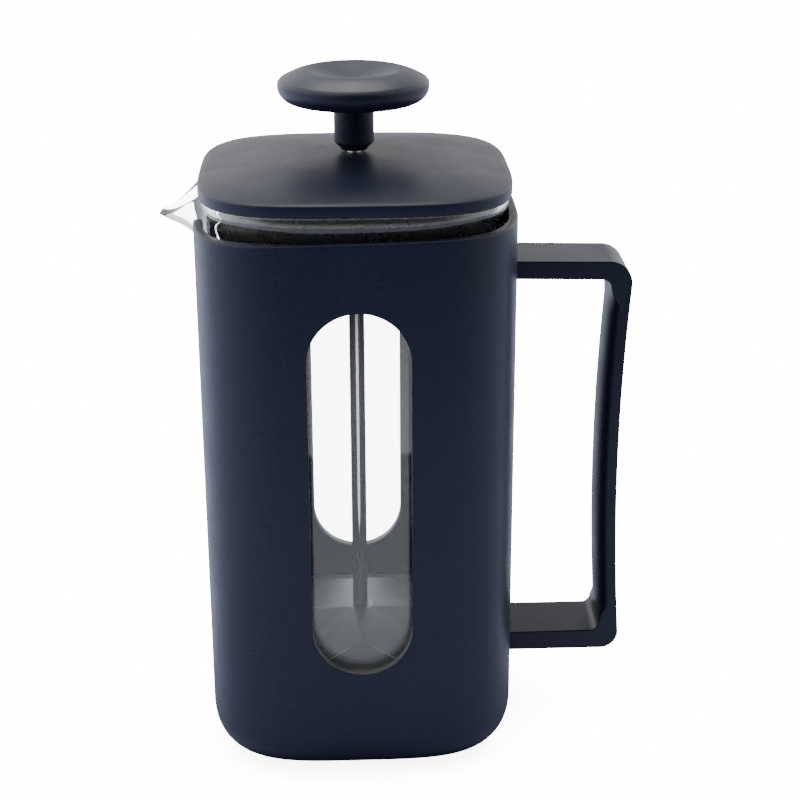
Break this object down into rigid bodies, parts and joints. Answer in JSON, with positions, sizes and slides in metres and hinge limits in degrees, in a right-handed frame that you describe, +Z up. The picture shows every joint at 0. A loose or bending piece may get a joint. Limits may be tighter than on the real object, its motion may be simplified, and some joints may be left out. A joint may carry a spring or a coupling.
{
  "type": "french press",
  "caption": "French press: a rounded-square glass beaker with a pouring lip in a windowed plastic sleeve with a strap handle, a domed lid and a plunger filter.",
  "frame": {"origin": "on the table under the middle of the body, on the rubber base pad's underside", "axes": "+Z up along the plunger rod, +X toward the handle, -X toward the pouring lip, the windows face -Y and +Y"},
  "size_m": [0.1501, 0.1006, 0.224],
  "materials": {
    "soft_plastic": "soft-touch matt, blue-black",
    "liner_plastic": "smooth black",
    "glass": "clear, polished",
    "rubber": "matt",
    "polished_steel": "polished",
    "brushed_steel": "satin",
    "brass": "turned"
  },
  "bodies": {
    "sleeve_body": {"sleeve": "soft_plastic", "handle": "soft_plastic", "handle_screw_upper": "polished_steel", "handle_screw_lower": "polished_steel", "base_pad": "rubber", "beaker_cushion": "rubber"},
    "beaker_body": {"beaker": "glass"},
    "lid_body": {"lid_cover": "soft_plastic", "lid_liner": "liner_plastic", "lid_bushing": "liner_plastic"},
    "plunger_body": {"knob": "soft_plastic", "knob_insert": "brass", "rod": "polished_steel", "dome_plate": "brushed_steel", "hub_spacer": "brushed_steel", "spring_plate": "brushed_steel", "seal_ring": "polished_steel", "mesh_filter": "brushed_steel", "cross_plate": "brushed_steel", "base_nut": "brushed_steel"}
  },
  "joints": [
    {"name": "beaker_lift", "type": "slide", "parent": "sleeve_body", "child": "beaker_body", "axis": [0, 0, 1], "range_m": [0, 0.18]},
    {"name": "lid_lift", "type": "slide", "parent": "beaker_body", "child": "lid_body", "axis": [0, 0, 1], "range_m": [0, 0.18]},
    {"name": "plunger_slide", "type": "slide", "parent": "lid_body", "child": "plunger_body", "axis": [0, 0, 1], "range_m": [0, 0.14]}
  ]
}
